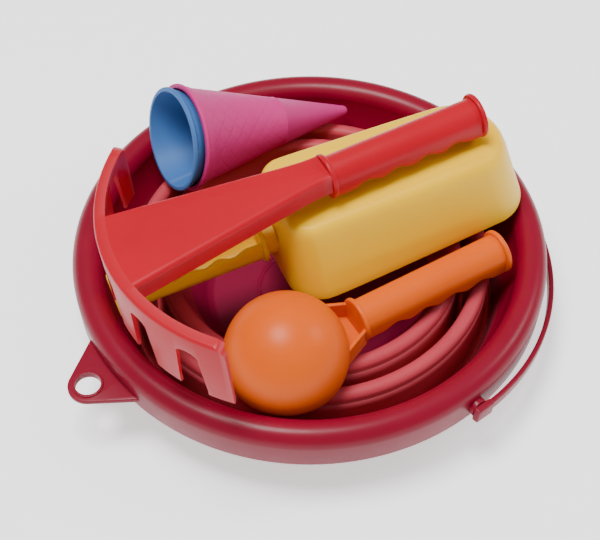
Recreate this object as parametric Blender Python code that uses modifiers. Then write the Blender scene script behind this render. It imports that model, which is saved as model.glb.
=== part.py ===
"""A folding sand bucket, folded flat and loaded with five sand tools.

The origin is at the centre of the base's underside, +Z is up, and lengths are in metres.
The bucket is a hard base cup, a hard rim and a soft wall between them that folds into two rings.
"""

from math import acos, cos, pi, radians, sin, sqrt, tan

import bmesh
import bpy
from mathutils import Matrix, Vector

# Bucket
STEPS = 60  # sides of every turned bucket piece, so that nested rings keep their gaps
GAP = 0.0003
HARD_WALL = 0.0024
SOFT_WALL = 0.0018
RIM_RADIUS = 0.140
RIM_ROLL = 0.009  # radius of the rim's rounded top
RIM_ROLL_HEIGHT = 0.046  # height of the centre of that rounding
SKIRT_BOTTOM = 0.030
SKIRT_INSET = 0.0007
FUNNEL_TOP_RADIUS = RIM_RADIUS - 2 * RIM_ROLL
FUNNEL_FOOT = (0.1105, 0.0085)  # radius and height where the hard rim ends
BASE_FLOOR_RADIUS = 0.060
BASE_FLOOR_HEIGHT = 0.0045
BASE_TOP = (0.072, 0.020)
CREST_A_RADIUS = 0.0853
CREST_A_TOP = 0.0460
CREST_B_RADIUS = 0.1020
CREST_B_TOP = 0.0435
CREST_HALF_WIDTH = 0.0045
CREST_SIDE = 0.0055  # how far a crest's outer side comes down to its web
VALLEY_HEIGHT = 0.0060
RING_B_FOOT_RADIUS = 0.0935

# Lug and bail
SKIRT_SINK = 0.0017  # how far the lug and the bosses reach into the skirt
LUG_AZIMUTH = radians(217.0)
LUG_HOLE_RADIUS = 0.0073
LUG_HOLE_DISTANCE = 0.1545
LUG_END_RADIUS = 0.0115
LUG_HALF_ANGLE = radians(11.0)
LUG_HEIGHT = 0.0375
LUG_THICKNESS = 0.0030
HINGE_AZIMUTH = radians(-49.3)
HINGE_HEIGHT = 0.0385
PIN_RADIUS = 0.0027
PIN_HOLE_RADIUS = 0.0030
PIN_HEAD_RADIUS = 0.0037
PIN_HEAD_START = RIM_RADIUS - 0.0062  # the snapped-in head lies just inside the skirt
PIN_HEAD_LENGTH = 0.0026
BOSS_RADIUS = 0.0055
BOSS_REACH = 0.1430  # distance of the boss's face from the bucket's axis
BAIL_RADIUS = 0.1450  # to the middle of the strip
BAIL_THICKNESS = 0.0030
BAIL_WIDTH = 0.0070
BAIL_TILT = radians(7.0)  # how far the bail hangs below the level of its pins
BAIL_BLOCK_LENGTH = 0.0125
BAIL_BLOCK_LEAD = 0.0056  # how much of that lies before the pin
BAIL_BLOCK_HALF_HEIGHT = 0.0048
BAIL_BLOCK_PROUD = 0.0009

# Sand tools: handles
GRIP_RADIUS = 0.0108
GRIP_SIDE = 0.0070  # height of the straight sides below the grip's axis
GRIP_WALL = 0.0022
FLANGE_RADIUS = 0.0130
FLANGE_THICKNESS = 0.0030
WAVE_COUNT = 4
WAVE_DEPTH = 0.0016
WAVE_START = 0.010  # from the end flange
WAVE_STOP = 0.012  # from the collar
WAVE_STEPS = 40
TOOL_CUT_DEPTH = 0.0400  # thickness of the plates that cut waves and gaps

# Rake
RAKE_PLACE = (0.0946, 0.0360, 0.1302)
RAKE_TURN = (radians(206.4), radians(-2.9), radians(4.4))
RAKE_COLLAR = 0.0975
RAKE_LENGTH = 0.2287
RAKE_ARC = 0.1190
RAKE_ARC_OFFSET = 0.0097  # the handle lies this far to one side of the head's middle
RAKE_ARC_ENDS = (radians(-48.5), radians(42.5))
RAKE_CORNERS = (0.0120, 0.0080)  # radii of the head's two upper corners
RAKE_STRIP = 0.0066
RAKE_FAN_HALF_WIDTH = 0.0287
RAKE_NECK_HALF_WIDTH = 0.0104
RAKE_NECK_LENGTH = 0.0120
RAKE_PLATE = 0.0024
RAKE_SIDE = 0.0120  # depth of the fan's side walls
RAKE_AXIS_DROP = 0.0090
RAKE_SOFTENING = 0.0010  # the head's rounded upper edge
RAKE_FLUSH = 0.0001
TINE_LENGTH = 0.0455
TINE_THICKNESS = 0.0030
TINE_TIP_THICKNESS = 0.0018
TINE_LEAN = radians(1.0)
TINE_GAPS = 5
TINE_PITCH = radians(17.3)
TINE_GAP_TOP = 0.0140  # width of a gap below its rounded top
TINE_GAP_FOOT = 0.0180
TINE_BAND = 0.0125  # depth of the unbroken wall above the gaps
TINE_MIDDLE = radians(-3.8)  # of the middle gap

# Scoop
SCOOP_PLACE = (-0.0236, -0.0107, 0.0680)  # where the grip's axis meets the blade's rear wall
SCOOP_TURN = (radians(21.8), radians(6.0), radians(-6.5))
SCOOP_GRIP_LENGTH = 0.0950
SCOOP_GRIP_HEIGHT = 0.0180  # of the grip's axis above the blade's rear edge
BLADE_PITCH = radians(-1.6)
BLADE_LENGTH = 0.1562
BLADE_HEIGHT = 0.0460
BLADE_TIP_SHARE = 0.85  # how long the rounded tip is, as a share of its half-width
BLADE_RISE = -0.0042  # how much shallower the blade is at its nose
BLADE_WALL = 0.0024

# Ball scoop
BALL_PLACE = (-0.0130, -0.0855, 0.0577)
BALL_TURN = (radians(30.7), 0.0, 0.0)
BALL_RADIUS = 0.0350
BALL_CUT = 0.0108
BALL_WALL = 0.0022
BALL_COLLAR = 0.0476
BALL_END = 0.1436
BALL_STRUT = ((0.0285, 0.0190), (0.0295, 0.0160))  # where a strut's two sides start in the bowl's wall
BALL_STRUT_END = (0.0112, 0.0090)  # its outer and inner side at the collar
BALL_STRUT_HEIGHT = 0.0140
BALL_STRUT_MIDDLE = -0.0030
BALL_NECK_FLOOR = 0.0024
BALL_NECK_BOTTOM = -0.0098

# Cones
CONE_TIP = (0.0215, 0.1092, 0.0495)
CONE_TURN = (radians(208.0), radians(15.0), 0.0)
CONE_MOUTH = 0.1150  # distance from the outer cone's tip to its mouth
CONE_TIP_RADIUS = 0.0030
CONE_HALF_ANGLE = radians(13.7)
CONE_WALL = 0.0016
CONE_LIP = 0.0014
CONE_STEP = 0.0006
CONE_BAND = 0.0066
CONE_NEST = 0.0072  # how far the inner cone stands out of the outer one
PINK_RADIUS = 0.0311
BLUE_RADIUS = 0.0300

COLORS = {
    "rim": ((0.36, 0.012, 0.038), 0.38),
    "base": ((0.33, 0.012, 0.045), 0.42),
    "soft": ((0.60, 0.10, 0.13), 0.55),
    "rake": ((0.64, 0.010, 0.018), 0.35),
    "scoop": ((0.92, 0.53, 0.06), 0.35),
    "ball": ((0.85, 0.25, 0.02), 0.35),
    "pink": ((0.66, 0.075, 0.30), 0.45),
    "blue": ((0.13, 0.33, 0.66), 0.45),
}


def clear_scene():
    for obj in list(bpy.data.objects):
        bpy.data.objects.remove(obj, do_unlink=True)


def make_collection(name):
    found = bpy.data.collections.new(name)
    bpy.context.scene.collection.children.link(found)
    return found


def make_material(name):
    color, roughness = COLORS[name]
    made = bpy.data.materials.new(name)
    made.use_nodes = True
    shader = made.node_tree.nodes["Principled BSDF"]
    shader.inputs["Base Color"].default_value = (*color, 1.0)
    shader.inputs["Roughness"].default_value = roughness
    shader.inputs["Metallic"].default_value = 0.0
    made.diffuse_color = (*color, 1.0)
    return made


def add_object(name, data, collection):
    obj = bpy.data.objects.new(name, data)
    collection.objects.link(obj)
    return obj


def add_frame(name, place, turn=(0.0, 0.0, 0.0)):
    """An empty at place. Its turn is yaw about Z, then pitch up along +X, then roll about +X."""
    yaw, pitch, roll = turn
    empty = add_object(name, None, PARTS)
    empty.empty_display_size = 0.02
    turned_by = Matrix.Rotation(yaw, 4, "Z") @ Matrix.Rotation(-pitch, 4, "Y") @ Matrix.Rotation(roll, 4, "X")
    empty.matrix_world = Matrix.Translation(place) @ turned_by
    return empty


def hide(obj):
    obj.hide_render = True
    obj.display_type = "WIRE"


def combine(obj, other, operation):
    hide(other)
    modifier = obj.modifiers.new(operation.title(), "BOOLEAN")
    modifier.operation = operation
    modifier.object = other


def baked(obj):
    """The object with its modifiers and curve data made into one welded mesh."""
    bpy.context.view_layer.update()
    graph = bpy.context.evaluated_depsgraph_get()
    mesh = bpy.data.meshes.new_from_object(obj.evaluated_get(graph))
    work = bmesh.new()
    work.from_mesh(mesh)
    bmesh.ops.remove_doubles(work, verts=work.verts, dist=0.00001)
    bmesh.ops.recalc_face_normals(work, faces=work.faces)
    work.to_mesh(mesh)
    work.free()
    made = add_object(obj.name + "_mesh", mesh, obj.users_collection[0])
    made.matrix_world = obj.matrix_world.copy()
    name = obj.name
    bpy.data.objects.remove(obj, do_unlink=True)
    made.name = name
    return made


def turned(name, profile, collection, steps=STEPS, closed=True):
    """A solid of revolution about Z. The profile is (radius, height) points, down its outer side first."""
    mesh = bpy.data.meshes.new(name)
    count = len(profile)
    edges = [(i, i + 1) for i in range(count - 1)]
    if closed:
        edges.append((count - 1, 0))
    mesh.from_pydata([(r, 0.0, z) for r, z in profile], edges, [])
    obj = add_object(name, mesh, collection)
    screw = obj.modifiers.new("Screw", "SCREW")
    screw.axis = "Z"
    screw.angle = 2 * pi
    screw.steps = steps
    screw.render_steps = steps
    screw.use_merge_vertices = True
    screw.merge_threshold = 0.00001
    return obj


def plate(name, outline, thickness, collection, holes=()):
    """A flat solid in the XY plane, centred on it, from closed outlines of (x, y) points."""
    curve = bpy.data.curves.new(name, "CURVE")
    curve.dimensions = "2D"
    curve.fill_mode = "BOTH"
    curve.extrude = thickness / 2
    for points in (outline, *holes):
        spline = curve.splines.new("POLY")
        spline.points.add(len(points) - 1)
        for point, (x, y) in zip(spline.points, points):
            point.co = (x, y, 0.0, 1.0)
        spline.use_cyclic_u = True
    return baked(add_object(name, curve, collection))


def arc(center, radius, start, end, steps):
    """Points from angle start to angle end, both included."""
    angles = [start + (end - start) * i / steps for i in range(steps + 1)]
    return [(center[0] + radius * cos(a), center[1] + radius * sin(a)) for a in angles]


def lay(obj, rotation=Matrix.Identity(4), place=(0.0, 0.0, 0.0)):
    """Turns and moves the object's mesh inside its own frame."""
    obj.data.transform(Matrix.Translation(place) @ rotation)
    return obj


def cylinder(name, radius, start, end, collection, sides=24):
    """A cylinder along +X from start to end."""
    mesh = bpy.data.meshes.new(name)
    work = bmesh.new()
    bmesh.ops.create_cone(
        work, cap_ends=True, segments=sides, radius1=radius, radius2=radius, depth=end - start
    )
    work.to_mesh(mesh)
    work.free()
    obj = add_object(name, mesh, collection)
    return lay(obj, Matrix.Rotation(pi / 2, 4, "Y"), ((start + end) / 2, 0.0, 0.0))


def box(name, low, high, collection):
    mesh = bpy.data.meshes.new(name)
    work = bmesh.new()
    bmesh.ops.create_cube(work, size=1.0)
    size = [b - a for a, b in zip(low, high)]
    middle = [(a + b) / 2 for a, b in zip(low, high)]
    bmesh.ops.scale(work, vec=size, verts=work.verts)
    bmesh.ops.translate(work, vec=middle, verts=work.verts)
    work.to_mesh(mesh)
    work.free()
    return add_object(name, mesh, collection)


def finish(obj, material, parent=None):
    """Gives a piece its material, its smooth shading and its parent frame."""
    obj.data.materials.clear()
    obj.data.materials.append(MATERIALS[material])
    obj.data.shade_smooth()
    obj.data.set_sharp_from_angle(angle=radians(35.0))
    if parent:
        obj.parent = parent
    return obj


# ---------------------------------------------------------------- bucket


def make_base_cup():
    top_radius, top = BASE_TOP
    foot_radius = BASE_FLOOR_RADIUS + 0.0045
    profile = [
        (0.0, BASE_FLOOR_HEIGHT),
        (BASE_FLOOR_RADIUS - 0.0020, BASE_FLOOR_HEIGHT),
        (BASE_FLOOR_RADIUS + 0.0012, BASE_FLOOR_HEIGHT + 0.0010),
        (BASE_FLOOR_RADIUS + 0.0030, BASE_FLOOR_HEIGHT + 0.0035),
        (top_radius, top),
        (top_radius + HARD_WALL, top),
        (foot_radius + 0.0015, 0.0020),
        (foot_radius, 0.0),
        (0.0, 0.0),
    ]
    return finish(turned("base_cup", profile, PARTS, closed=False), "base")


def crest(radius, top, side_drop):
    """A rounded crest from its inner edge over to its outer edge, as a path (radius, height)."""
    half = CREST_HALF_WIDTH
    round_off = 0.0022
    return [
        (radius - half, top - round_off - 0.0015),
        (radius - half + 0.0006, top - 0.0010),
        (radius - half + round_off, top - 0.0001),
        (radius + half - round_off, top),
        (radius + half - 0.0006, top - 0.0010),
        (radius + half, top - round_off - 0.0012),
        (radius + half + 0.0003, top - side_drop),
    ]


def thickened(path, wall):
    """Closes a path into a wall by adding its own offset, to the left of its direction when wall > 0."""
    offset = []
    for i, (r, z) in enumerate(path):
        before = path[max(i - 1, 0)]
        after = path[min(i + 1, len(path) - 1)]
        dr, dz = after[0] - before[0], after[1] - before[1]
        length = sqrt(dr * dr + dz * dz)
        bend = 1.0
        if 0 < i < len(path) - 1:
            a = Vector((r - before[0], z - before[1])).normalized()
            b = Vector((after[0] - r, after[1] - z)).normalized()
            bend = 1.0 / max(0.6, cos(acos(max(-1.0, min(1.0, a.dot(b)))) / 2))
        offset.append((r - dz / length * wall * bend, z + dr / length * wall * bend))
    return path + offset[::-1]


def make_lower_wall_ring():
    foot_radius, foot = BASE_TOP
    inner = foot_radius + 0.0004
    path = [(inner, foot + GAP), (inner, foot + GAP + 0.0020)]
    path += crest(CREST_A_RADIUS, CREST_A_TOP, CREST_SIDE)
    return finish(turned("lower_wall_ring", thickened(path, -SOFT_WALL), PARTS), "soft")


def make_middle_wall_ring():
    path = [(RING_B_FOOT_RADIUS, VALLEY_HEIGHT)]
    path += crest(CREST_B_RADIUS, CREST_B_TOP, CREST_SIDE)
    return finish(turned("middle_wall_ring", thickened(path, -SOFT_WALL), PARTS), "soft")


def make_web(name, crest_radius, crest_top, foot_radius, valley):
    """The folded wall between a crest's outer side and the foot of the next ring out."""
    top_radius = crest_radius + CREST_HALF_WIDTH + 0.0003
    top = crest_top - CREST_SIDE - GAP
    inner_radius = foot_radius - 0.0024
    path = [
        (top_radius, top),
        (inner_radius - 0.0002, valley + 0.0020),
        (inner_radius + 0.0006, valley - 0.0012),
        (foot_radius - 0.0006, valley - 0.0022),
        (foot_radius + 0.0006, valley - 0.0014),
        (foot_radius + 0.0006, valley - GAP),
    ]
    return finish(turned(name, thickened(path, -SOFT_WALL * 0.7), PARTS), "soft")


def make_upper_wall_collar():
    foot_radius, foot = FUNNEL_FOOT
    slope = (FUNNEL_TOP_RADIUS - foot_radius) / (RIM_ROLL_HEIGHT - foot)
    drop = foot - GAP - VALLEY_HEIGHT
    inner_top = foot_radius - GAP
    profile = [
        (inner_top + HARD_WALL - 0.0002, foot - GAP),
        (inner_top + HARD_WALL - 0.0002 - slope * drop, VALLEY_HEIGHT),
        (inner_top - slope * drop, VALLEY_HEIGHT),
        (inner_top, foot - GAP),
    ]
    return finish(turned("upper_wall_collar", profile, PARTS), "soft")


def rim_profile():
    center = (RIM_RADIUS - RIM_ROLL, RIM_ROLL_HEIGHT)
    inner_roll = RIM_ROLL - HARD_WALL
    foot_radius, foot = FUNNEL_FOOT
    skirt_radius = RIM_RADIUS - SKIRT_INSET
    outer = arc(center, RIM_ROLL, pi, 0.0, 10)
    inner = arc(center, inner_roll, 0.0, pi, 6)
    return (
        outer
        + [(skirt_radius, SKIRT_BOTTOM), (skirt_radius - HARD_WALL, SKIRT_BOTTOM)]
        + inner
        + [(foot_radius + HARD_WALL, foot), (foot_radius, foot)]
    )


def lug_outline():
    """A rounded triangle with its point at +X and its root inside the rim's skirt."""
    root_radius = RIM_RADIUS - SKIRT_SINK
    root = arc((0.0, 0.0), root_radius, LUG_HALF_ANGLE, -LUG_HALF_ANGLE, 8)
    corner = Vector(root[0])
    to_hole = Vector((LUG_HOLE_DISTANCE, 0.0)) - corner
    lean = acos(LUG_END_RADIUS / to_hole.length)
    facing = pi - Vector((1.0, 0.0)).angle(corner - Vector((LUG_HOLE_DISTANCE, 0.0)))
    start = pi - facing - lean
    return root + arc((LUG_HOLE_DISTANCE, 0.0), LUG_END_RADIUS, -start, start, 14)


def make_rim():
    rim = turned("rim_ring", rim_profile(), PARTS)
    lug = plate("lug", lug_outline(), LUG_THICKNESS, CUTTERS)
    hole = cylinder("lug_hole", LUG_HOLE_RADIUS, -0.01, 0.01, CUTTERS, 28)
    lay(hole, Matrix.Rotation(pi / 2, 4, "Y"), (LUG_HOLE_DISTANCE, 0.0, 0.0))
    for obj in (lug, hole):
        lay(obj, Matrix.Rotation(LUG_AZIMUTH, 4, "Z"), (0.0, 0.0, LUG_HEIGHT))
    combine(rim, lug, "UNION")
    combine(rim, hole, "DIFFERENCE")
    for side, turn in enumerate((HINGE_AZIMUTH, HINGE_AZIMUTH + pi)):
        aim = Matrix.Rotation(turn, 4, "Z")
        boss = cylinder(f"boss_{side}", BOSS_RADIUS, RIM_RADIUS - SKIRT_SINK, BOSS_REACH, CUTTERS)
        bore = cylinder(f"bore_{side}", PIN_HOLE_RADIUS, PIN_HEAD_START - 2 * GAP, BOSS_REACH + 0.004, CUTTERS)
        for obj in (boss, bore):
            lay(obj, aim, (0.0, 0.0, HINGE_HEIGHT))
        combine(rim, boss, "UNION")
        combine(rim, bore, "DIFFERENCE")
    return finish(rim, "rim")


def make_bail():
    """A half hoop between two pins that snap through the rim's bosses."""
    frame = add_frame("bail_axis", (0.0, 0.0, HINGE_HEIGHT), (HINGE_AZIMUTH, 0.0, -BAIL_TILT))
    half = BAIL_THICKNESS / 2
    outline = arc((0.0, 0.0), BAIL_RADIUS + half, 0.0, pi, 44)
    outline += arc((0.0, 0.0), BAIL_RADIUS - half, pi, 0.0, 44)
    bail = plate("bail_handle", outline, BAIL_WIDTH, PARTS)
    for side, sign in enumerate((1, -1)):
        inner = BOSS_REACH + GAP
        low = (inner, -BAIL_BLOCK_LEAD, -BAIL_BLOCK_HALF_HEIGHT)
        high = (BAIL_RADIUS + half + BAIL_BLOCK_PROUD, BAIL_BLOCK_LENGTH - BAIL_BLOCK_LEAD, BAIL_BLOCK_HALF_HEIGHT)
        block = box(f"bail_block_{side}", low, high, CUTTERS)
        pin = cylinder(f"bail_pin_{side}", PIN_RADIUS, PIN_HEAD_START + 0.001, inner + 0.001, CUTTERS, 20)
        head_end = PIN_HEAD_START + PIN_HEAD_LENGTH
        head = cylinder(f"bail_head_{side}", PIN_HEAD_RADIUS, PIN_HEAD_START, head_end, CUTTERS, 20)
        for obj in (block, pin, head):
            if sign < 0:
                lay(obj, Matrix.Scale(-1, 4, (1.0, 0.0, 0.0)))
                obj.data.flip_normals()
            obj.parent = frame
            combine(bail, obj, "UNION")
    return finish(bail, "rim", frame)


# ---------------------------------------------------------------- sand tools


def make_grip(name, length, collection):
    """A half-open grip along +X from its end flange at 0 to its collar: rounded on top, open below."""
    sections = []
    for shrink in (0.0, GRIP_WALL):
        radius = GRIP_RADIUS - shrink
        drop = GRIP_SIDE + (0.01 if shrink else 0.0)
        outline = [(-drop, -radius)] + arc((0.0, 0.0), radius, -pi / 2, pi / 2, 12) + [(-drop, radius)]
        inset = FLANGE_THICKNESS * (0.6 if shrink else 0.2)
        start, stop = inset, length - inset
        section = plate(f"{name}_section_{len(sections)}", outline, stop - start, collection)
        # The outline's x is the grip's up, and its y is the grip's width.
        lay(section, Matrix.Rotation(-pi / 2, 4, "Y"), ((start + stop) / 2, 0.0, 0.0))
        sections.append(section)
    grip, hollow = sections
    combine(grip, hollow, "DIFFERENCE")
    first, last = WAVE_START, length - WAVE_STOP
    below = -GRIP_SIDE - 0.0005
    wave = [(first, below - TOOL_CUT_DEPTH / 2), (first, below)]
    for i in range(1, WAVE_STEPS):
        share = i / WAVE_STEPS
        rise = WAVE_DEPTH * (1 - cos(2 * pi * WAVE_COUNT * share))
        wave.append((first + (last - first) * share, below + rise))
    wave += [(last, below), (last, below - TOOL_CUT_DEPTH / 2)]
    waves = plate(f"{name}_waves", wave, TOOL_CUT_DEPTH, collection)
    lay(waves, Matrix.Rotation(pi / 2, 4, "X"))
    combine(grip, waves, "DIFFERENCE")
    for side, start in enumerate((0.0, length - FLANGE_THICKNESS)):
        flange = cylinder(f"{name}_flange_{side}", FLANGE_RADIUS, start, start + FLANGE_THICKNESS, collection, 32)
        combine(grip, flange, "UNION")
    return grip


def tine_gap_outline():
    """A gap between two tines: a low round top below the head's band, widening a little towards the tips."""
    top, foot = TINE_GAP_TOP / 2, TINE_GAP_FOOT / 2
    side = [(foot, -TINE_LENGTH - 0.01), (foot, -TINE_LENGTH)]
    side += [(top, -TINE_BAND - top)]
    side += [(top * cos(angle), -TINE_BAND - top * 0.6 * (1 - sin(angle))) for angle in (radians(22), radians(55))]
    return side + [(0.0, -TINE_BAND)] + [(-x, y) for x, y in reversed(side)]


def make_rake():
    frame = add_frame("rake_frame", RAKE_PLACE, RAKE_TURN)
    grip = make_grip("rake_grip", RAKE_COLLAR, CUTTERS)
    grip = lay(baked(grip), place=(0.0, 0.0, -RAKE_AXIS_DROP))

    center = (RAKE_LENGTH - RAKE_ARC, RAKE_ARC_OFFSET)
    start = RAKE_COLLAR - FLANGE_THICKNESS * 0.7
    fans = []
    for shrink in (0.0, RAKE_PLATE):
        end = RAKE_LENGTH - RAKE_STRIP - shrink * 0.5
        neck = RAKE_NECK_HALF_WIDTH - shrink
        flare = RAKE_FAN_HALF_WIDTH - shrink
        outline = [(start, -neck), (start + RAKE_NECK_LENGTH, -neck), (end, -flare)]
        outline += [(x, -y) for x, y in reversed(outline)]
        fan = plate(f"rake_fan_{len(fans)}", outline, RAKE_SIDE, CUTTERS)
        lay(fan, place=(0.0, 0.0, -RAKE_SIDE / 2 - (RAKE_PLATE if shrink else 0.0)))
        fans.append(fan)
    rake, hollow = fans
    combine(rake, hollow, "DIFFERENCE")

    inner = RAKE_ARC - TINE_THICKNESS
    tip = RAKE_ARC - tan(TINE_LEAN) * TINE_LENGTH
    ring_profile = [
        (RAKE_ARC - RAKE_SOFTENING, -RAKE_FLUSH),
        (RAKE_ARC, -RAKE_SOFTENING),
        (tip, -TINE_LENGTH),
        (tip - TINE_TIP_THICKNESS, -TINE_LENGTH),
        (inner, -RAKE_PLATE - 2 * RAKE_SOFTENING),
        (inner - RAKE_SOFTENING, -RAKE_PLATE),
        (RAKE_ARC - RAKE_STRIP, -RAKE_PLATE),
        (RAKE_ARC - RAKE_STRIP, -RAKE_FLUSH),
    ]
    head = turned("rake_head", ring_profile, CUTTERS, 110)
    wedge_outline = [(0.0, 0.0)] + arc((0.0, 0.0), 2 * RAKE_ARC, *RAKE_ARC_ENDS, 12)
    wedge = plate("rake_wedge", wedge_outline, 4 * TINE_LENGTH, CUTTERS)
    combine(head, wedge, "INTERSECT")
    # Each cutter's outline has its x along the arc and its y up.
    stand = Matrix.Rotation(pi / 2, 4, "Z") @ Matrix.Rotation(pi / 2, 4, "X")
    for i in range(TINE_GAPS):
        cut = plate(f"rake_gap_{i}", tine_gap_outline(), TOOL_CUT_DEPTH, CUTTERS)
        lay(cut, stand, (RAKE_ARC, 0.0, 0.0))
        lay(cut, Matrix.Rotation(TINE_MIDDLE + TINE_PITCH * (i - (TINE_GAPS - 1) / 2), 4, "Z"))
        combine(head, cut, "DIFFERENCE")
    for side, turn, radius in zip((-1, 1), RAKE_ARC_ENDS, RAKE_CORNERS):
        outline = arc((-radius, -radius), radius, pi / 2, 0.0, 6)
        outline += [(radius, -radius), (radius, radius), (-radius, radius)]
        cut = plate(f"rake_corner_{side}", [(side * x, y) for x, y in outline], TOOL_CUT_DEPTH, CUTTERS)
        lay(cut, stand, (RAKE_ARC, 0.0, 0.0))
        lay(cut, Matrix.Rotation(turn, 4, "Z"))
        combine(head, cut, "DIFFERENCE")
    head = lay(baked(head), place=(*center, 0.0))
    combine(rake, head, "UNION")
    combine(rake, grip, "UNION")
    rake = baked(rake)
    PARTS.objects.link(rake)
    CUTTERS.objects.unlink(rake)
    rake.name = "rake"
    return finish(rake, "rake", frame)


def blade_outline(rear_half, nose_half, rear, front, corner):
    """A blade outline: rounded corners at the rear and a round tip."""
    near = arc((rear + corner, -rear_half + corner), corner, pi, 1.5 * pi, 6)
    tip_length = nose_half * BLADE_TIP_SHARE
    tip = [
        (front - tip_length + tip_length * cos(angle), nose_half * sin(angle))
        for angle in (-pi / 2 + pi * i / 14 for i in range(15))
    ]
    far = [(x, -y) for x, y in reversed(near)]
    return near + tip + far


def make_blade():
    """The blade upside down: its open side below, its back on top, from the rear wall at x = 0."""
    levels = (
        # share of the height, rear and nose half-widths, rear and front insets, corner radius
        (0.0, 0.0450, 0.0325, 0.0, 0.0, 0.022),
        (0.50, 0.0388, 0.0320, 0.0028, 0.0055, 0.019),
        (0.80, 0.0358, 0.0316, 0.0042, 0.0085, 0.017),
        (0.92, 0.0338, 0.0302, 0.0056, 0.0112, 0.015),
        (0.98, 0.0312, 0.0280, 0.0078, 0.0146, 0.013),
        (1.0, 0.0280, 0.0250, 0.0108, 0.0185, 0.010),
    )
    work = bmesh.new()
    rings = []
    for share, rear_half, nose_half, rear, inset, corner in levels:
        outline = blade_outline(rear_half, nose_half, rear, BLADE_LENGTH - inset, corner)
        ring = []
        for x, y in outline:
            low = BLADE_RISE * x / BLADE_LENGTH
            ring.append(work.verts.new((x, y, low + (BLADE_HEIGHT - low) * share)))
        rings.append(ring)
    for below, above in zip(rings, rings[1:]):
        for i in range(len(below)):
            j = (i + 1) % len(below)
            work.faces.new((below[i], below[j], above[j], above[i]))
    work.faces.new(rings[-1])
    mesh = bpy.data.meshes.new("blade")
    work.to_mesh(mesh)
    work.free()
    blade = add_object("blade", mesh, CUTTERS)
    shell = blade.modifiers.new("Solidify", "SOLIDIFY")
    shell.thickness = BLADE_WALL
    shell.offset = -1.0
    shell.use_even_offset = True
    return baked(blade)


def make_scoop():
    frame = add_frame("scoop_frame", SCOOP_PLACE, SCOOP_TURN)
    scoop = make_blade()
    lay(scoop, Matrix.Rotation(-BLADE_PITCH, 4, "Y"), (0.0, 0.0, -SCOOP_GRIP_HEIGHT))
    grip = baked(make_grip("scoop_grip", SCOOP_GRIP_LENGTH - 0.004, CUTTERS))
    lay(grip, Matrix.Rotation(pi, 4, "X"), (-SCOOP_GRIP_LENGTH, 0.0, 0.0))
    root = cylinder("scoop_root", GRIP_RADIUS - 0.001, -0.006, 0.0030, CUTTERS)
    combine(scoop, grip, "UNION")
    combine(scoop, root, "UNION")
    scoop = baked(scoop)
    PARTS.objects.link(scoop)
    CUTTERS.objects.unlink(scoop)
    scoop.name = "scoop"
    return finish(scoop, "scoop", frame)


def make_ball_scoop():
    frame = add_frame("ball_scoop_frame", BALL_PLACE, BALL_TURN)
    inner = BALL_RADIUS - BALL_WALL
    lowest = -acos(sqrt(1 - (BALL_CUT / BALL_RADIUS) ** 2))
    lowest_inner = -acos(sqrt(1 - (BALL_CUT / inner) ** 2))
    profile = arc((0.0, 0.0), BALL_RADIUS, pi / 2, lowest, 14)
    profile[0] = (0.0, BALL_RADIUS)
    profile += arc((0.0, 0.0), inner, lowest_inner, pi / 2, 11)
    profile[-1] = (0.0, inner)
    ball = turned("ball_bowl", profile, CUTTERS, 40, closed=False)
    ball = baked(ball)
    face = BALL_COLLAR - FLANGE_THICKNESS
    reach = face + FLANGE_THICKNESS / 3
    outer_end, inner_end = BALL_STRUT_END
    outer_start, inner_start = BALL_STRUT
    for side, sign in enumerate((1, -1)):
        outline = [outer_start, (reach, outer_end), (reach, inner_end), inner_start]
        strut = plate(f"ball_strut_{side}", [(x, sign * y) for x, y in outline], BALL_STRUT_HEIGHT, CUTTERS)
        lay(strut, place=(0.0, 0.0, BALL_STRUT_MIDDLE))
        combine(ball, strut, "UNION")
    near, far = inner_start, (reach, (outer_end + inner_end) / 2)
    outline = [(near[0], -near[1]), near, far, (far[0], -far[1])]
    floor = plate("ball_floor", outline, BALL_NECK_FLOOR, CUTTERS)
    lay(floor, place=(0.0, 0.0, BALL_NECK_BOTTOM + BALL_NECK_FLOOR / 2))
    combine(ball, floor, "UNION")
    grip = baked(make_grip("ball_grip", BALL_END - face, CUTTERS))
    lay(grip, Matrix.Rotation(pi, 4, "Z"), (BALL_END, 0.0, 0.0))
    combine(ball, grip, "UNION")
    ball = baked(ball)
    PARTS.objects.link(ball)
    CUTTERS.objects.unlink(ball)
    ball.name = "ball_scoop"
    return finish(ball, "ball", frame)


def make_cone(name, material, mouth, mouth_radius, frame):
    """A thin cone along +X, with its mouth at x = mouth and a raised band and a lip round it."""
    slope = tan(CONE_HALF_ANGLE)
    inner_shift = CONE_WALL / cos(CONE_HALF_ANGLE)
    band = mouth - CONE_BAND
    tip = mouth - (mouth_radius - CONE_TIP_RADIUS) / slope
    hollow_tip = tip + (inner_shift - CONE_TIP_RADIUS + 0.0010) / slope

    def outer(x):
        return mouth_radius - (mouth - x) * slope

    profile = [
        (0.0, hollow_tip - 0.0006),
        (0.0010, hollow_tip),
        (mouth_radius - inner_shift, mouth),
        (mouth_radius + CONE_LIP * 0.5, mouth),
        (mouth_radius + CONE_LIP, mouth - 0.0008),
        (mouth_radius + CONE_LIP, mouth - 0.0022),
        (outer(mouth - 0.0032) + CONE_STEP, mouth - 0.0032),
        (outer(band) + CONE_STEP, band),
        (outer(band), band - 0.0005),
        (CONE_TIP_RADIUS, tip),
        (CONE_TIP_RADIUS * 0.75, tip - 0.0014),
        (0.0, tip - 0.0020),
    ]
    cone = baked(turned(name, profile[::-1], PARTS, 44, closed=False))
    lay(cone, Matrix.Rotation(pi / 2, 4, "Y"))
    return finish(cone, material, frame)


clear_scene()
PARTS = make_collection("folding_sand_bucket")
CUTTERS = make_collection("cutters")
MATERIALS = {name: make_material(name) for name in COLORS}

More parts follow.
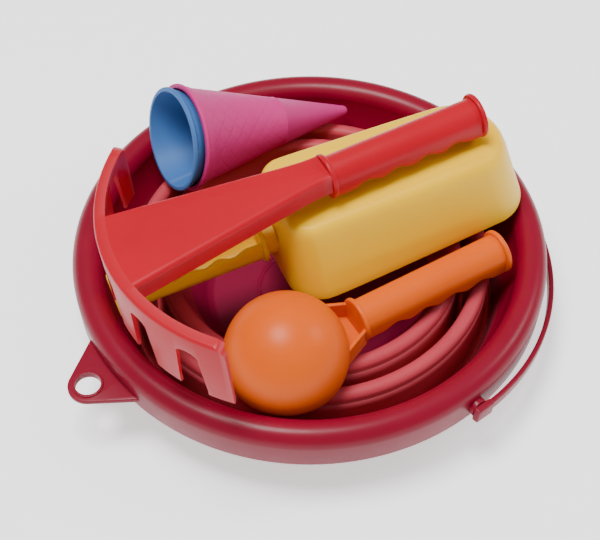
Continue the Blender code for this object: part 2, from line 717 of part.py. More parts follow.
make_base_cup()
make_lower_wall_ring()
make_middle_wall_ring()
make_web("lower_web", CREST_A_RADIUS, CREST_A_TOP, RING_B_FOOT_RADIUS, VALLEY_HEIGHT)
collar_foot = FUNNEL_FOOT[0] - 0.0012
make_web("upper_web", CREST_B_RADIUS, CREST_B_TOP, collar_foot, VALLEY_HEIGHT)
make_upper_wall_collar()
make_rim()
make_bail()
make_rake()
make_scoop()
make_ball_scoop()
cones = add_frame("cone_frame", CONE_TIP, CONE_TURN)
make_cone("pink_cone", "pink", CONE_MOUTH, PINK_RADIUS, cones)
make_cone("blue_cone", "blue", CONE_MOUTH + CONE_NEST, BLUE_RADIUS, cones)
bpy.context.view_layer.update()
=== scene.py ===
"""The looks of a folding sand bucket, folded flat and loaded with five sand tools.

Lengths are in metres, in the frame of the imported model: origin under the base, +Z up.
"""

from math import acos, asin, cos, pi, radians, sin, sqrt, tan

import bmesh
import bpy
from mathutils import Matrix, Vector


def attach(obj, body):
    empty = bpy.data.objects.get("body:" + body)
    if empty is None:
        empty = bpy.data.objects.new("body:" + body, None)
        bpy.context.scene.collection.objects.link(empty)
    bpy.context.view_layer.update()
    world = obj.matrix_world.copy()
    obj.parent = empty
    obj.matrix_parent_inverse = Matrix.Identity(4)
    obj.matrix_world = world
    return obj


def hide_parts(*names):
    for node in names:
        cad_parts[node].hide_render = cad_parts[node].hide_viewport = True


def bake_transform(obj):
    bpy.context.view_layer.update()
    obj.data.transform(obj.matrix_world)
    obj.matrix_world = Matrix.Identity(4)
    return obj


# Bucket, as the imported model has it
TURN_STEPS = 144
RIM_RADIUS = 0.140
ROLL = 0.009
ROLL_HEIGHT = 0.046
SKIRT_BOTTOM = 0.030
HARD_WALL = 0.0024
FUNNEL_FOOT = (0.1105, 0.0085)
CREST_HALF = 0.0045
SOFT_WALL = 0.0018
HINGE_AZIMUTH = radians(-49.3)
HINGE_HEIGHT = 0.0385
LUG_AZIMUTH = radians(217.0)
LUG_HEIGHT = 0.0375
LUG_HOLE_DISTANCE = 0.1545
LUG_HOLE_RADIUS = 0.0073
BAIL_RADIUS = 0.1450
BAIL_TILT = radians(7.0)

# Handles
GRIP_RADIUS = 0.0108
GRIP_SIDE = 0.0070
GRIP_WALL = 0.0022
FLANGE_RADIUS = 0.0130
FLANGE_THICKNESS = 0.0030
WAVE_COUNT = 4
WAVE_DEPTH = 0.0016

# Plastic
PLASTIC_IOR = 1.48
SPECULAR_LEVEL = 0.20
COAT_ROUGHNESS = 0.22
SCATTER_RADIUS = (0.006, 0.003, 0.002)
CLOUD_SCALE = 22.0
SMEAR_SCALE = 90.0
GRAIN_SCALE = 900.0
GRAIN_STRENGTH = 0.03
GRAIN_DEPTH = 0.0004
EDGE_HIGHLIGHT_SHARE = 0.16  # how far a sharp edge goes towards its paler colour, a painted edge highlight
WAFFLE_TURNS = 14.0  # diagonals round the cone
WAFFLE_PITCH = 110.0  # diagonals per metre along it
WAFFLE_LINE = 0.09
WAFFLE_STRENGTH = 0.35
WAFFLE_SPAN = (0.052, 0.107)  # from where to where along the cone

# Where each tool lies: its place, and its yaw, pitch and roll
RAKE_FRAME = ((0.0946, 0.0360, 0.1302), (radians(206.4), radians(-2.9), radians(4.4)))
SCOOP_FRAME = ((-0.0236, -0.0107, 0.0680), (radians(21.8), radians(6.0), radians(-6.5)))
BALL_FRAME = ((-0.0130, -0.0855, 0.0577), (radians(30.7), 0.0, 0.0))
CONE_FRAME = ((0.0215, 0.1092, 0.0495), (radians(208.0), radians(15.0), 0.0))

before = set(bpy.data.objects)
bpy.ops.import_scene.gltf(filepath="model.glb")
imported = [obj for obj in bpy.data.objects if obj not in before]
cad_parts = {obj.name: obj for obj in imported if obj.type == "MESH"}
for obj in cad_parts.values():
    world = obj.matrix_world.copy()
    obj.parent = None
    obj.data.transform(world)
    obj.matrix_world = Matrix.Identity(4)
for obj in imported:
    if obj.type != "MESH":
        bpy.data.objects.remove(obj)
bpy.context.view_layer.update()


# ---------------------------------------------------------------- materials


def node(tree, kind, **values):
    """A new node: in_name=value sets the input Name, and any other name=value sets a property."""
    made = tree.nodes.new(kind)
    for name, value in values.items():
        if name.startswith("in_"):
            made.inputs[name[3:].replace("_", " ").title()].default_value = value
        else:
            setattr(made, name, value)
    return made


def plastic(name, color, shade, roughness, scatter=0.0, coat=0.0):
    """Moulded plastic: cloudy pigment, uneven gloss, fine grain and a painted highlight that turns sharp
    edges a little paler.
    """
    made = bpy.data.materials.new(name)
    made.use_nodes = True
    tree = made.node_tree
    shader = tree.nodes["Principled BSDF"]
    shader.inputs["IOR"].default_value = PLASTIC_IOR
    shader.inputs["Specular IOR Level"].default_value = SPECULAR_LEVEL
    shader.inputs["Subsurface Weight"].default_value = scatter
    shader.inputs["Subsurface Radius"].default_value = SCATTER_RADIUS
    shader.inputs["Subsurface Scale"].default_value = 1.0
    shader.inputs["Coat Weight"].default_value = coat
    shader.inputs["Coat Roughness"].default_value = COAT_ROUGHNESS
    place = node(tree, "ShaderNodeTexCoord")

    cloud = node(tree, "ShaderNodeTexNoise", in_scale=CLOUD_SCALE, in_detail=3.0)
    tree.links.new(place.outputs["Object"], cloud.inputs["Vector"])
    pigment = node(tree, "ShaderNodeMix", data_type="RGBA")
    pigment.inputs["A"].default_value = (*color, 1.0)
    pigment.inputs["B"].default_value = (*shade, 1.0)
    spread = node(tree, "ShaderNodeMapRange")
    spread.inputs["From Min"].default_value = 0.42
    spread.inputs["From Max"].default_value = 0.78
    tree.links.new(cloud.outputs["Fac"], spread.inputs["Value"])
    tree.links.new(spread.outputs["Result"], pigment.inputs["Factor"])

    # Painted highlight: the sharper an edge, the further its colour goes towards a paler one.
    highlight_geometry = node(tree, "ShaderNodeNewGeometry")
    edge = node(tree, "ShaderNodeMapRange")
    edge.inputs["From Min"].default_value = 0.53
    edge.inputs["From Max"].default_value = 0.66
    edge.inputs["To Max"].default_value = EDGE_HIGHLIGHT_SHARE
    painted_edge_highlight = node(tree, "ShaderNodeMix", data_type="RGBA")
    painted_edge_highlight.inputs["B"].default_value = (*[min(1.0, c * 0.55 + 0.35) for c in color], 1.0)
    tree.links.new(highlight_geometry.outputs["Pointiness"], edge.inputs["Value"])
    tree.links.new(edge.outputs["Result"], painted_edge_highlight.inputs["Factor"])
    tree.links.new(pigment.outputs["Result"], painted_edge_highlight.inputs["A"])
    tree.links.new(painted_edge_highlight.outputs["Result"], shader.inputs["Base Color"])

    smear = node(tree, "ShaderNodeTexNoise", in_scale=SMEAR_SCALE, in_detail=4.0)
    gloss = node(tree, "ShaderNodeMapRange")
    gloss.inputs["To Min"].default_value = roughness - 0.06
    gloss.inputs["To Max"].default_value = roughness + 0.10
    tree.links.new(place.outputs["Object"], smear.inputs["Vector"])
    tree.links.new(smear.outputs["Fac"], gloss.inputs["Value"])
    tree.links.new(gloss.outputs["Result"], shader.inputs["Roughness"])

    fine = node(tree, "ShaderNodeTexNoise", in_scale=GRAIN_SCALE, in_detail=2.0)
    bump = node(tree, "ShaderNodeBump")
    bump.inputs["Strength"].default_value = GRAIN_STRENGTH
    bump.inputs["Distance"].default_value = GRAIN_DEPTH
    tree.links.new(place.outputs["Object"], fine.inputs["Vector"])
    tree.links.new(fine.outputs["Fac"], bump.inputs["Height"])
    tree.links.new(bump.outputs["Normal"], shader.inputs["Normal"])
    return made


def add_waffle(material, start, end):
    """A faint diagonal lattice between two distances along the cone, read from its own turn and length."""
    tree = material.node_tree
    bump = next(n for n in tree.nodes if n.type == "BUMP")
    uv = node(tree, "ShaderNodeUVMap", uv_map="turn")
    parts = node(tree, "ShaderNodeSeparateXYZ")
    tree.links.new(uv.outputs["UV"], parts.inputs["Vector"])
    heights = []
    for sign in (1.0, -1.0):
        turn = node(tree, "ShaderNodeMath", operation="MULTIPLY")
        turn.inputs[1].default_value = WAFFLE_TURNS * sign
        along = node(tree, "ShaderNodeMath", operation="MULTIPLY_ADD")
        along.inputs[1].default_value = WAFFLE_PITCH
        wave = node(tree, "ShaderNodeMath", operation="PINGPONG")
        wave.inputs[1].default_value = 0.5
        line = node(tree, "ShaderNodeMapRange")
        line.inputs["From Max"].default_value = WAFFLE_LINE
        tree.links.new(parts.outputs["X"], turn.inputs[0])
        tree.links.new(parts.outputs["Y"], along.inputs[0])
        tree.links.new(turn.outputs["Value"], along.inputs[2])
        tree.links.new(along.outputs["Value"], wave.inputs[0])
        tree.links.new(wave.outputs["Value"], line.inputs["Value"])
        heights.append(line.outputs["Result"])
    both = node(tree, "ShaderNodeMath", operation="MINIMUM")
    tree.links.new(heights[0], both.inputs[0])
    tree.links.new(heights[1], both.inputs[1])
    inside = []
    for limit, kind in ((start, "GREATER_THAN"), (end, "LESS_THAN")):
        test = node(tree, "ShaderNodeMath", operation=kind)
        test.inputs[1].default_value = limit
        tree.links.new(parts.outputs["Y"], test.inputs[0])
        inside.append(test.outputs["Value"])
    band = node(tree, "ShaderNodeMath", operation="MULTIPLY")
    tree.links.new(inside[0], band.inputs[0])
    tree.links.new(inside[1], band.inputs[1])
    cut = node(tree, "ShaderNodeMath", operation="SUBTRACT")
    cut.inputs[0].default_value = 1.0
    tree.links.new(both.outputs["Value"], cut.inputs[1])
    depth = node(tree, "ShaderNodeMath", operation="MULTIPLY")
    tree.links.new(cut.outputs["Value"], depth.inputs[0])
    tree.links.new(band.outputs["Value"], depth.inputs[1])
    groove = node(tree, "ShaderNodeBump", invert=True)
    groove.inputs["Strength"].default_value = WAFFLE_STRENGTH
    groove.inputs["Distance"].default_value = GRAIN_DEPTH
    tree.links.new(depth.outputs["Value"], groove.inputs["Height"])
    tree.links.new(bump.outputs["Normal"], groove.inputs["Normal"])
    shader = tree.nodes["Principled BSDF"]
    tree.links.new(groove.outputs["Normal"], shader.inputs["Normal"])


# ---------------------------------------------------------------- shapes


def soft_corners(points, radius, steps=4, closed=False):
    """The same line with each corner rounded off."""
    points = [Vector(p) for p in points]
    count = len(points)
    made = []
    for i, corner in enumerate(points):
        if not closed and i in (0, count - 1):
            made.append(corner)
            continue
        before = points[i - 1] - corner
        after = points[(i + 1) % count] - corner
        start = corner + before.normalized() * min(radius, before.length * 0.45)
        end = corner + after.normalized() * min(radius, after.length * 0.45)
        for k in range(steps + 1):
            t = k / steps
            made.append(start * (1 - t) ** 2 + corner * 2 * t * (1 - t) + end * t * t)
    return [tuple(p) for p in made]


def arc(center, radius, start, end, steps):
    """Points of a circle's arc from one angle to another, both ends included."""
    angles = [start + (end - start) * i / steps for i in range(steps + 1)]
    return [(center[0] + radius * cos(a), center[1] + radius * sin(a)) for a in angles]


def new_object(name, mesh):
    obj = bpy.data.objects.new(name, mesh)
    bpy.context.scene.collection.objects.link(obj)
    return obj


def mesh_of_rows(name, rows, loop_rows=False, loop_points=False, caps=False):
    """A grid of quads through rows of points, which may close on themselves either way."""
    work = bmesh.new()
    made = [[work.verts.new(p) for p in row] for row in rows]
    pairs = list(zip(made, made[1:]))
    if loop_rows:
        pairs.append((made[-1], made[0]))
    for a, b in pairs:
        count = len(a)
        for i in range(count if loop_points else count - 1):
            j = (i + 1) % count
            work.faces.new((a[i], a[j], b[j], b[i]))
    if caps:
        work.faces.new(made[0])
        work.faces.new(made[-1])
    bmesh.ops.remove_doubles(work, verts=work.verts, dist=0.000002)
    bmesh.ops.recalc_face_normals(work, faces=work.faces)
    mesh = bpy.data.meshes.new(name)
    work.to_mesh(mesh)
    work.free()
    return new_object(name, mesh)


def lathe(name, profile, steps=TURN_STEPS, turn=2 * pi, axis="Z"):
    """A closed (radius, height) profile turned about an axis, all the way round or part of the way."""
    whole = abs(turn - 2 * pi) < 1e-6
    rows = []
    for i in range(steps if whole else steps + 1):
        angle = turn * i / steps
        if axis == "Z":
            rows.append([(r * cos(angle), r * sin(angle), z) for r, z in profile])
        else:
            rows.append([(z, r * cos(angle), r * sin(angle)) for r, z in profile])
    return mesh_of_rows(name, rows, loop_rows=whole, loop_points=True, caps=not whole)


def slab(name, outline, thickness, edge=0.0, holes=()):
    """A flat solid about the XY plane with rounded edges, from closed outlines of (x, y) points."""
    curve = bpy.data.curves.new(name, "CURVE")
    curve.dimensions = "2D"
    curve.fill_mode = "BOTH"
    curve.extrude = thickness / 2 - edge
    curve.bevel_depth = edge
    curve.bevel_resolution = 2
    curve.offset = -edge
    for points in (outline, *holes):
        spline = curve.splines.new("POLY")
        spline.points.add(len(points) - 1)
        for point, (x, y) in zip(spline.points, points):
            point.co = (x, y, 0.0, 1.0)
        spline.use_cyclic_u = True
    return applied(new_object(name, curve))


def applied(obj):
    """The object with its curve data and modifiers made into one mesh."""
    bpy.context.view_layer.update()
    graph = bpy.context.evaluated_depsgraph_get()
    mesh = bpy.data.meshes.new_from_object(obj.evaluated_get(graph))
    work = bmesh.new()
    work.from_mesh(mesh)
    bmesh.ops.remove_doubles(work, verts=work.verts, dist=0.000005)
    bmesh.ops.recalc_face_normals(work, faces=work.faces)
    work.to_mesh(mesh)
    work.free()
    name, place = obj.name, obj.matrix_world.copy()
    bpy.data.objects.remove(obj, do_unlink=True)
    made = new_object(name, mesh)
    made.matrix_world = place
    return made


def modified(obj, kind, **settings):
    """The object with one more modifier on it."""
    modifier = obj.modifiers.new(kind.title(), kind)
    for name, value in settings.items():
        setattr(modifier, name, value)
    return obj


def edges_rounded(obj, width, segments):
    """The object with its sharp edges rounded."""
    limit = {"limit_method": "ANGLE", "angle_limit": radians(50)}
    return applied(modified(obj, "BEVEL", width=width, segments=segments, **limit))


def cut(obj, *tools, operation="DIFFERENCE"):
    """The object with each tool taken away from it or added to it. The tools are used up."""
    for tool in tools:
        modified(obj, "BOOLEAN", operation=operation, object=tool, solver="EXACT")
    made = applied(obj)
    for tool in tools:
        bpy.data.objects.remove(tool, do_unlink=True)
    return made


def moved(obj, *matrices):
    """The object with its mesh moved by the matrices' product."""
    whole = Matrix.Identity(4)
    for matrix in matrices:
        whole = whole @ matrix
    obj.data.transform(whole)
    return obj


def joined(name, *objects):
    """All the objects as one mesh."""
    work = bmesh.new()
    for obj in objects:
        work.from_mesh(obj.data)
        bpy.data.objects.remove(obj, do_unlink=True)
    mesh = bpy.data.meshes.new(name)
    work.to_mesh(mesh)
    work.free()
    return new_object(name, mesh)


def rod(name, radius, start, end, sides=40, edge=0.0004):
    """A round rod along +X with rounded ends."""
    profile = soft_corners([(0.0, start), (radius, start), (radius, end), (0.0, end)], edge, 3)
    return lathe(name, profile, sides, axis="X")


def block(name, low, high, edge):
    """A box between two corners with rounded edges."""
    mesh = bpy.data.meshes.new(name)
    work = bmesh.new()
    bmesh.ops.create_cube(work, size=1.0)
    bmesh.ops.scale(work, vec=[b - a for a, b in zip(low, high)], verts=work.verts)
    bmesh.ops.translate(work, vec=[(a + b) / 2 for a, b in zip(low, high)], verts=work.verts)
    work.to_mesh(mesh)
    work.free()
    obj = new_object(name, mesh)
    return applied(modified(obj, "BEVEL", width=edge, segments=4))


def placed(frame_of):
    """The matrix of a tool's frame: yaw about Z, then pitch up along +X, then roll about +X."""
    place, (yaw, pitch, roll) = frame_of
    turn = Matrix.Rotation(yaw, 4, "Z") @ Matrix.Rotation(-pitch, 4, "Y")
    turn = turn @ Matrix.Rotation(roll, 4, "X")
    return Matrix.Translation(place) @ turn


def dress(obj, material, body, slot, *nodes, sharp=35.0):
    """Gives a finished piece its material, its shading, its body and the CAD nodes it stands for."""
    obj.data.materials.clear()
    obj.data.materials.append(material)
    obj.data.shade_smooth()
    obj.data.set_sharp_from_angle(angle=radians(sharp))
    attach(obj, body)
    if nodes:
        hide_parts(*nodes)
    return obj


# ---------------------------------------------------------------- bucket


def make_base(material):
    """The hard cup that the bucket stands on, with a moulded ring in its floor."""
    outline = [
        (0.0, 0.0045),
        (0.0300, 0.0045),
        (0.0306, 0.0051),
        (0.0318, 0.0051),
        (0.0324, 0.0045),
        (0.0590, 0.0045),
        (0.0630, 0.0075),
        (0.0720, 0.0200),
        (0.0744, 0.0200),
        (0.0652, 0.0010),
        (0.0636, 0.0),
        (0.0, 0.0),
    ]
    cup = lathe("base_cup_shell", soft_corners(outline, 0.0014))
    dress(cup, material, "base", "base_plastic", "base_cup")


def crest(radius, top, drop):
    """A folded ring's crest: up its inner side, over a full round top and down its outer side."""
    half = CREST_HALF
    over = arc((radius, top - half * 0.86), half, pi, 0.0, 16)
    over = [(r, top - half * 0.86 + (z - (top - half * 0.86)) * 0.86) for r, z in over]
    return over + [(radius + half + 0.0003, top - drop)]


def wall_of(path, thickness):
    """Closes a path into a wall by its own offset to the right."""
    points = [Vector(p) for p in path]
    inner = []
    for i, point in enumerate(points):
        before, after = points[max(i - 1, 0)], points[min(i + 1, len(points) - 1)]
        along = (after - before).normalized()
        inner.append(tuple(point + Vector((along.y, -along.x)) * thickness))
    return path + inner[::-1]


def make_soft_walls(material):
    """Two folded rings, the two webs that join them to the base and the rim, and a collar on the rim."""
    rings = (
        # piece, node, body, foot of the inner side, crest radius, crest height
        ("lower_wall_fold", "lower_wall_ring", "base", [(0.0724, 0.0203), (0.0724, 0.0223)], 0.0853, 0.0460),
        ("middle_wall_fold", "middle_wall_ring", "middle", [(0.0935, 0.0060)], 0.1020, 0.0435),
    )
    for name, cad, body, foot, radius, top in rings:
        side = foot + crest(radius, top, 0.0055)
        dress(lathe(name, wall_of(side, SOFT_WALL)), material, body, "soft_wall", cad, sharp=50.0)
    webs = (
        # piece, node, inner body, outer body, top radius, top height, foot radius
        ("lower_fold_web", "lower_web", "base", "middle", 0.0901, 0.0402, 0.0935),
        ("upper_fold_web", "upper_web", "middle", "rim", 0.1068, 0.0377, 0.1093),
    )
    valley = 0.0060
    for name, cad, inner, outer, radius, top, foot in webs:
        path = [(radius, top)]
        path += [
            (radius + (foot - 0.0026 - radius) * t, top + (valley + 0.0020 - top) * t)
            for t in (0.25, 0.5, 0.75)
        ]
        path += [(foot - 0.0026, valley + 0.0020), (foot - 0.0018, valley - 0.0012)]
        path += [(foot - 0.0006, valley - 0.0022), (foot + 0.0006, valley - 0.0014)]
        path += [(foot + 0.0006, valley - 0.0003)]
        web = lathe(name, wall_of(soft_corners(path, 0.0012), SOFT_WALL * 0.7))
        web.data.materials.append(material)
        web.data.shade_smooth()
        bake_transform(web)
        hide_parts(cad)
    collar = [(0.1126, 0.0082), (0.1118, 0.0060), (0.1094, 0.0060), (0.1102, 0.0082)]
    collar = lathe("wall_collar", soft_corners(collar, 0.0003, 2, closed=True))
    dress(collar, material, "rim", "soft_wall", "upper_wall_collar")


def rim_outline():
    """The rim's wall: a rolled top with a short outer skirt, and a funnel down to the soft wall."""
    middle = (RIM_RADIUS - ROLL, ROLL_HEIGHT)
    skirt = RIM_RADIUS - 0.0007
    funnel = [(FUNNEL_FOOT[0], FUNNEL_FOOT[1]), (0.1156, 0.0270), (0.1163, 0.0276)]
    outer = arc(middle, ROLL, pi, 0.0, 36)
    under = arc(middle, ROLL - HARD_WALL, 0.0, pi, 24)
    outline = funnel + outer
    edge = [outer[-1], (skirt, SKIRT_BOTTOM), (skirt - HARD_WALL, SKIRT_BOTTOM), under[0]]
    outline += soft_corners(edge, 0.0009)[1:-1]
    outline += under + [(FUNNEL_FOOT[0] + HARD_WALL, FUNNEL_FOOT[1])]
    return outline


def lug_outline():
    """A tongue from the rim's skirt to a round end about the hole."""
    root_radius = RIM_RADIUS - 0.0016
    half = radians(11.0)
    root = arc((0.0, 0.0), root_radius, half, -half, 12)
    end_radius = 0.0115
    to_hole = Vector((LUG_HOLE_DISTANCE, 0.0)) - Vector(root[0])
    lean = acos(end_radius / to_hole.length)
    start = Vector((1.0, 0.0)).angle(-to_hole) - lean
    return root + arc((LUG_HOLE_DISTANCE, 0.0), end_radius, -start, start, 28)


def hinge_aim(side):
    """From the +X axis at the origin to one of the bail's two hinges, on opposite sides of the rim."""
    turn = Matrix.Rotation(HINGE_AZIMUTH + pi * side, 4, "Z")
    return Matrix.Translation((0.0, 0.0, HINGE_HEIGHT)) @ turn


def make_rim(material):
    """The rolled rim with its hanging lug, and a bored boss for each end of the bail."""
    rim = lathe("rim_shell", rim_outline())
    additions = []
    lug = slab("lug", lug_outline(), 0.0030, 0.0006)
    border = [(0.0070, -0.0022), (0.0088, -0.0022), (0.0088, 0.0022), (0.0070, 0.0022)]
    border = lathe("lug_border", soft_corners(border, 0.0004, 3, closed=True), 48)
    moved(border, Matrix.Translation((LUG_HOLE_DISTANCE, 0.0, 0.0)))
    aim = Matrix.Translation((0.0, 0.0, LUG_HEIGHT)) @ Matrix.Rotation(LUG_AZIMUTH, 4, "Z")
    additions += [moved(lug, aim), moved(border, aim)]
    for side in (0, 1):
        aim = hinge_aim(side)
        additions.append(moved(rod(f"boss_{side}", 0.0055, RIM_RADIUS - 0.0018, 0.1430), aim))
    rim = cut(rim, *additions, operation="UNION")
    bores = [rod("lug_bore", LUG_HOLE_RADIUS, -0.01, 0.01, edge=0.0)]
    hole = Matrix.Translation((LUG_HOLE_DISTANCE, 0.0, LUG_HEIGHT))
    moved(bores[0], Matrix.Rotation(LUG_AZIMUTH, 4, "Z"), hole, Matrix.Rotation(pi / 2, 4, "Y"))
    for side in (0, 1):
        aim = hinge_aim(side)
        bores.append(moved(rod(f"bore_{side}", 0.0030, RIM_RADIUS - 0.0070, 0.1470, edge=0.0), aim))
    rim = cut(rim, *bores)
    dress(rim, material, "rim", "rim_plastic", "rim_ring", sharp=40.0)


def make_bail(material):
    """A half hoop of rounded strip, with an end block and a snap pin at each end."""
    thick, wide = 0.0015, 0.0035  # half of each
    strip = [(-thick, -wide), (thick, -wide), (thick, wide), (-thick, wide)]
    strip = [(BAIL_RADIUS + r, z) for r, z in soft_corners(strip, 0.0009, 3, closed=True)]
    parts = [lathe("bail_strip", strip, 96, turn=pi)]
    for side in (0, 1):
        end = block("end", (0.1433, -0.0056, -0.0048), (BAIL_RADIUS + 0.0024, 0.0069, 0.0048), 0.0009)
        pin = rod("pin", 0.0027, RIM_RADIUS - 0.0050, 0.1445)
        head = rod("head", 0.0037, RIM_RADIUS - 0.0062, RIM_RADIUS - 0.0036)
        for obj in (end, pin, head):
            if side:
                moved(obj, Matrix.Scale(-1, 4, (1.0, 0.0, 0.0)))
                obj.data.flip_normals()
            parts.append(obj)
    bail = cut(parts[0], *parts[1:], operation="UNION")
    bail.name = "bail_hoop"
    moved(bail, placed(((0.0, 0.0, HINGE_HEIGHT), (HINGE_AZIMUTH, 0.0, -BAIL_TILT))))
    dress(bail, material, "bail", "rim_plastic", "bail_handle")


# ---------------------------------------------------------------- sand tools


def make_grip(name, length):
    """A half-open handle along +X from its end flange at 0 to its collar: rounded on top, wavy below."""
    first, last = 0.010, length - 0.012
    radius = GRIP_RADIUS - GRIP_WALL / 2
    rows = []
    for i in range(97):
        x = 0.0006 + (length - 0.0012) * i / 96
        share = min(1.0, max(0.0, (x - first) / (last - first)))
        low = -GRIP_SIDE + WAVE_DEPTH * (1 - cos(2 * pi * WAVE_COUNT * share))
        row = [(x, -radius, low), (x, -radius, low * 0.5)]
        row += [(x, radius * cos(a), radius * sin(a)) for a in (pi - pi * k / 24 for k in range(25))]
        row += [(x, radius, low * 0.5), (x, radius, low)]
        rows.append(row)
    tube = mesh_of_rows(name, rows)
    tube = applied(modified(tube, "SOLIDIFY", thickness=GRIP_WALL, offset=0.0, use_even_offset=True))
    tube = edges_rounded(tube, 0.0005, 2)
    parts = [tube]
    for side in (0.0, length - FLANGE_THICKNESS):
        far = side + FLANGE_THICKNESS
        ring = [(0.0, side), (FLANGE_RADIUS, side), (FLANGE_RADIUS, far), (0.0, far)]
        parts.append(lathe("ring", soft_corners(ring, 0.0013, 5), 56, axis="X"))
    return joined(name, *parts)


RAKE_COLLAR = 0.0975
RAKE_LENGTH = 0.2287
RAKE_ARC = 0.1190
RAKE_ARC_OFFSET = 0.0097
RAKE_ARC_ENDS = (radians(-48.5), radians(42.5))
RAKE_CORNERS = (0.0120, 0.0080)
RAKE_SHOULDER = 0.012  # straight length of the fan next to the collar
RAKE_STRIP = 0.0066
RAKE_PLATE = 0.0024
RAKE_FAN_HALF = 0.0287
RAKE_NECK_HALF = 0.0104
RAKE_SIDE = 0.0120
RAKE_AXIS_DROP = 0.0090
TINE_LENGTH = 0.0455
TINE_LEAN = radians(1.0)
TINE_PITCH = radians(17.3)
TINE_MIDDLE = radians(-3.8)
TINE_GAP_TOP = 0.0140
TINE_GAP_FOOT = 0.0180
TINE_BAND = 0.0125
CUT_DEPTH = 0.04


def make_rake_fan():
    """The plate from the collar out to the head, with a deep rounded wall down each side."""
    start = RAKE_COLLAR - FLANGE_THICKNESS * 0.7
    end = RAKE_LENGTH + 0.004
    slope = (RAKE_FAN_HALF - RAKE_NECK_HALF) / (RAKE_LENGTH - RAKE_STRIP - start - RAKE_SHOULDER)
    flare = RAKE_FAN_HALF + (end - RAKE_LENGTH + RAKE_STRIP) * slope
    shapes = []
    for shrink, edge in ((0.0, 0.0028), (0.0022, 0.0)):
        near = [(start - shrink, shrink - RAKE_NECK_HALF), (start + RAKE_SHOULDER, shrink - RAKE_NECK_HALF)]
        near.append((end + shrink, shrink - flare))
        outline = soft_corners(near, RAKE_SHOULDER, 8)
        outline += [(x, -y) for x, y in reversed(outline)]
        shapes.append(slab("fan", outline, RAKE_SIDE * 2, edge))
    fan, room = shapes
    moved(fan, Matrix.Translation((0.0, 0.0, -RAKE_SIDE)))
    moved(room, Matrix.Translation((0.0, 0.0, -RAKE_SIDE - RAKE_PLATE)))
    below = block("fan_below", (0.0, -0.2, -0.2), (0.4, 0.2, -RAKE_SIDE), 0.0001)
    fan = cut(fan, room, below)
    reach = [(0.0, -0.10), (RAKE_ARC - 0.0012, -0.10), (RAKE_ARC - 0.0012, 0.10), (0.0, 0.10)]
    inside = lathe("fan_reach", reach, 160)
    moved(inside, Matrix.Translation((RAKE_LENGTH - RAKE_ARC, RAKE_ARC_OFFSET, 0.0)))
    fan = cut(fan, inside, operation="INTERSECT")
    return moved(fan, Matrix.Translation((0.0, 0.0, -0.00002)))


def gap_outline():
    """The opening between two tines: wide at the foot, with a flattened round top."""
    top, foot = TINE_GAP_TOP / 2, TINE_GAP_FOOT / 2
    side = [(foot, -TINE_LENGTH - 0.01), (foot, -TINE_LENGTH + 0.004), (top, -TINE_BAND - top)]
    turns = (radians(12 * k) for k in range(1, 7))
    side += [(top * cos(a), -TINE_BAND - top * 0.6 * (1 - sin(a))) for a in turns]
    return side + [(0.0, -TINE_BAND)] + [(-x, y) for x, y in reversed(side)]


def make_rake_head():
    """A curved wall of broad tines under a flat strip, rounded along its top edge and at both ends."""
    lean = tan(TINE_LEAN) * TINE_LENGTH
    inner = RAKE_ARC - 0.0030
    profile = [
        (RAKE_ARC - RAKE_STRIP, 0.0),
        (RAKE_ARC - 0.0020, 0.0),
        (RAKE_ARC - 0.0010, -0.0003),
        (RAKE_ARC - 0.0003, -0.0010),
        (RAKE_ARC, -0.0020),
        (RAKE_ARC - lean, -TINE_LENGTH + 0.0006),
        (RAKE_ARC - lean - 0.0006, -TINE_LENGTH),
        (RAKE_ARC - lean - 0.0014, -TINE_LENGTH),
        (RAKE_ARC - lean - 0.0019, -TINE_LENGTH + 0.0006),
        (inner, -0.0060),
        (inner - 0.0006, -0.0036),
        (inner - 0.0020, -0.0025),
        (RAKE_ARC - RAKE_STRIP, -RAKE_PLATE),
    ]
    sweep = RAKE_ARC_ENDS[1] - RAKE_ARC_ENDS[0]
    head = lathe("head", profile, 120, turn=sweep)
    moved(head, Matrix.Rotation(RAKE_ARC_ENDS[0], 4, "Z"))
    stand = Matrix.Translation((RAKE_ARC, 0.0, 0.0)) @ Matrix.Rotation(pi / 2, 4, "Z")
    stand = stand @ Matrix.Rotation(pi / 2, 4, "X")
    cutters = []
    for k in (-2, -1, 0, 1, 2):
        gap = slab(f"gap_{k}", gap_outline(), CUT_DEPTH)
        cutters.append(moved(gap, Matrix.Rotation(TINE_MIDDLE + TINE_PITCH * k, 4, "Z"), stand))
    for side, turn, radius in zip((-1, 1), RAKE_ARC_ENDS, RAKE_CORNERS):
        corner = arc((-radius, -radius), radius, pi / 2, 0.0, 14)
        corner += [(radius, -radius), (radius, radius), (-radius, radius)]
        piece = slab("corner", [(side * x, y) for x, y in corner], CUT_DEPTH)
        cutters.append(moved(piece, Matrix.Rotation(turn, 4, "Z"), stand))
    head = cut(head, *cutters)
    head = edges_rounded(head, 0.0005, 2)
    return moved(head, Matrix.Translation((RAKE_LENGTH - RAKE_ARC, RAKE_ARC_OFFSET, 0.0)))


def make_rake(material):
    """A toothed head on a fan-shaped plate with side walls, and a half-open handle."""
    grip = moved(make_grip("rake_grip", RAKE_COLLAR), Matrix.Translation((0.0, 0.0, -RAKE_AXIS_DROP)))
    body = cut(make_rake_fan(), make_rake_head(), operation="UNION")
    rake = moved(joined("rake_body", body, grip), placed(RAKE_FRAME))
    dress(rake, material, "rake", "red_plastic", "rake", sharp=40.0)


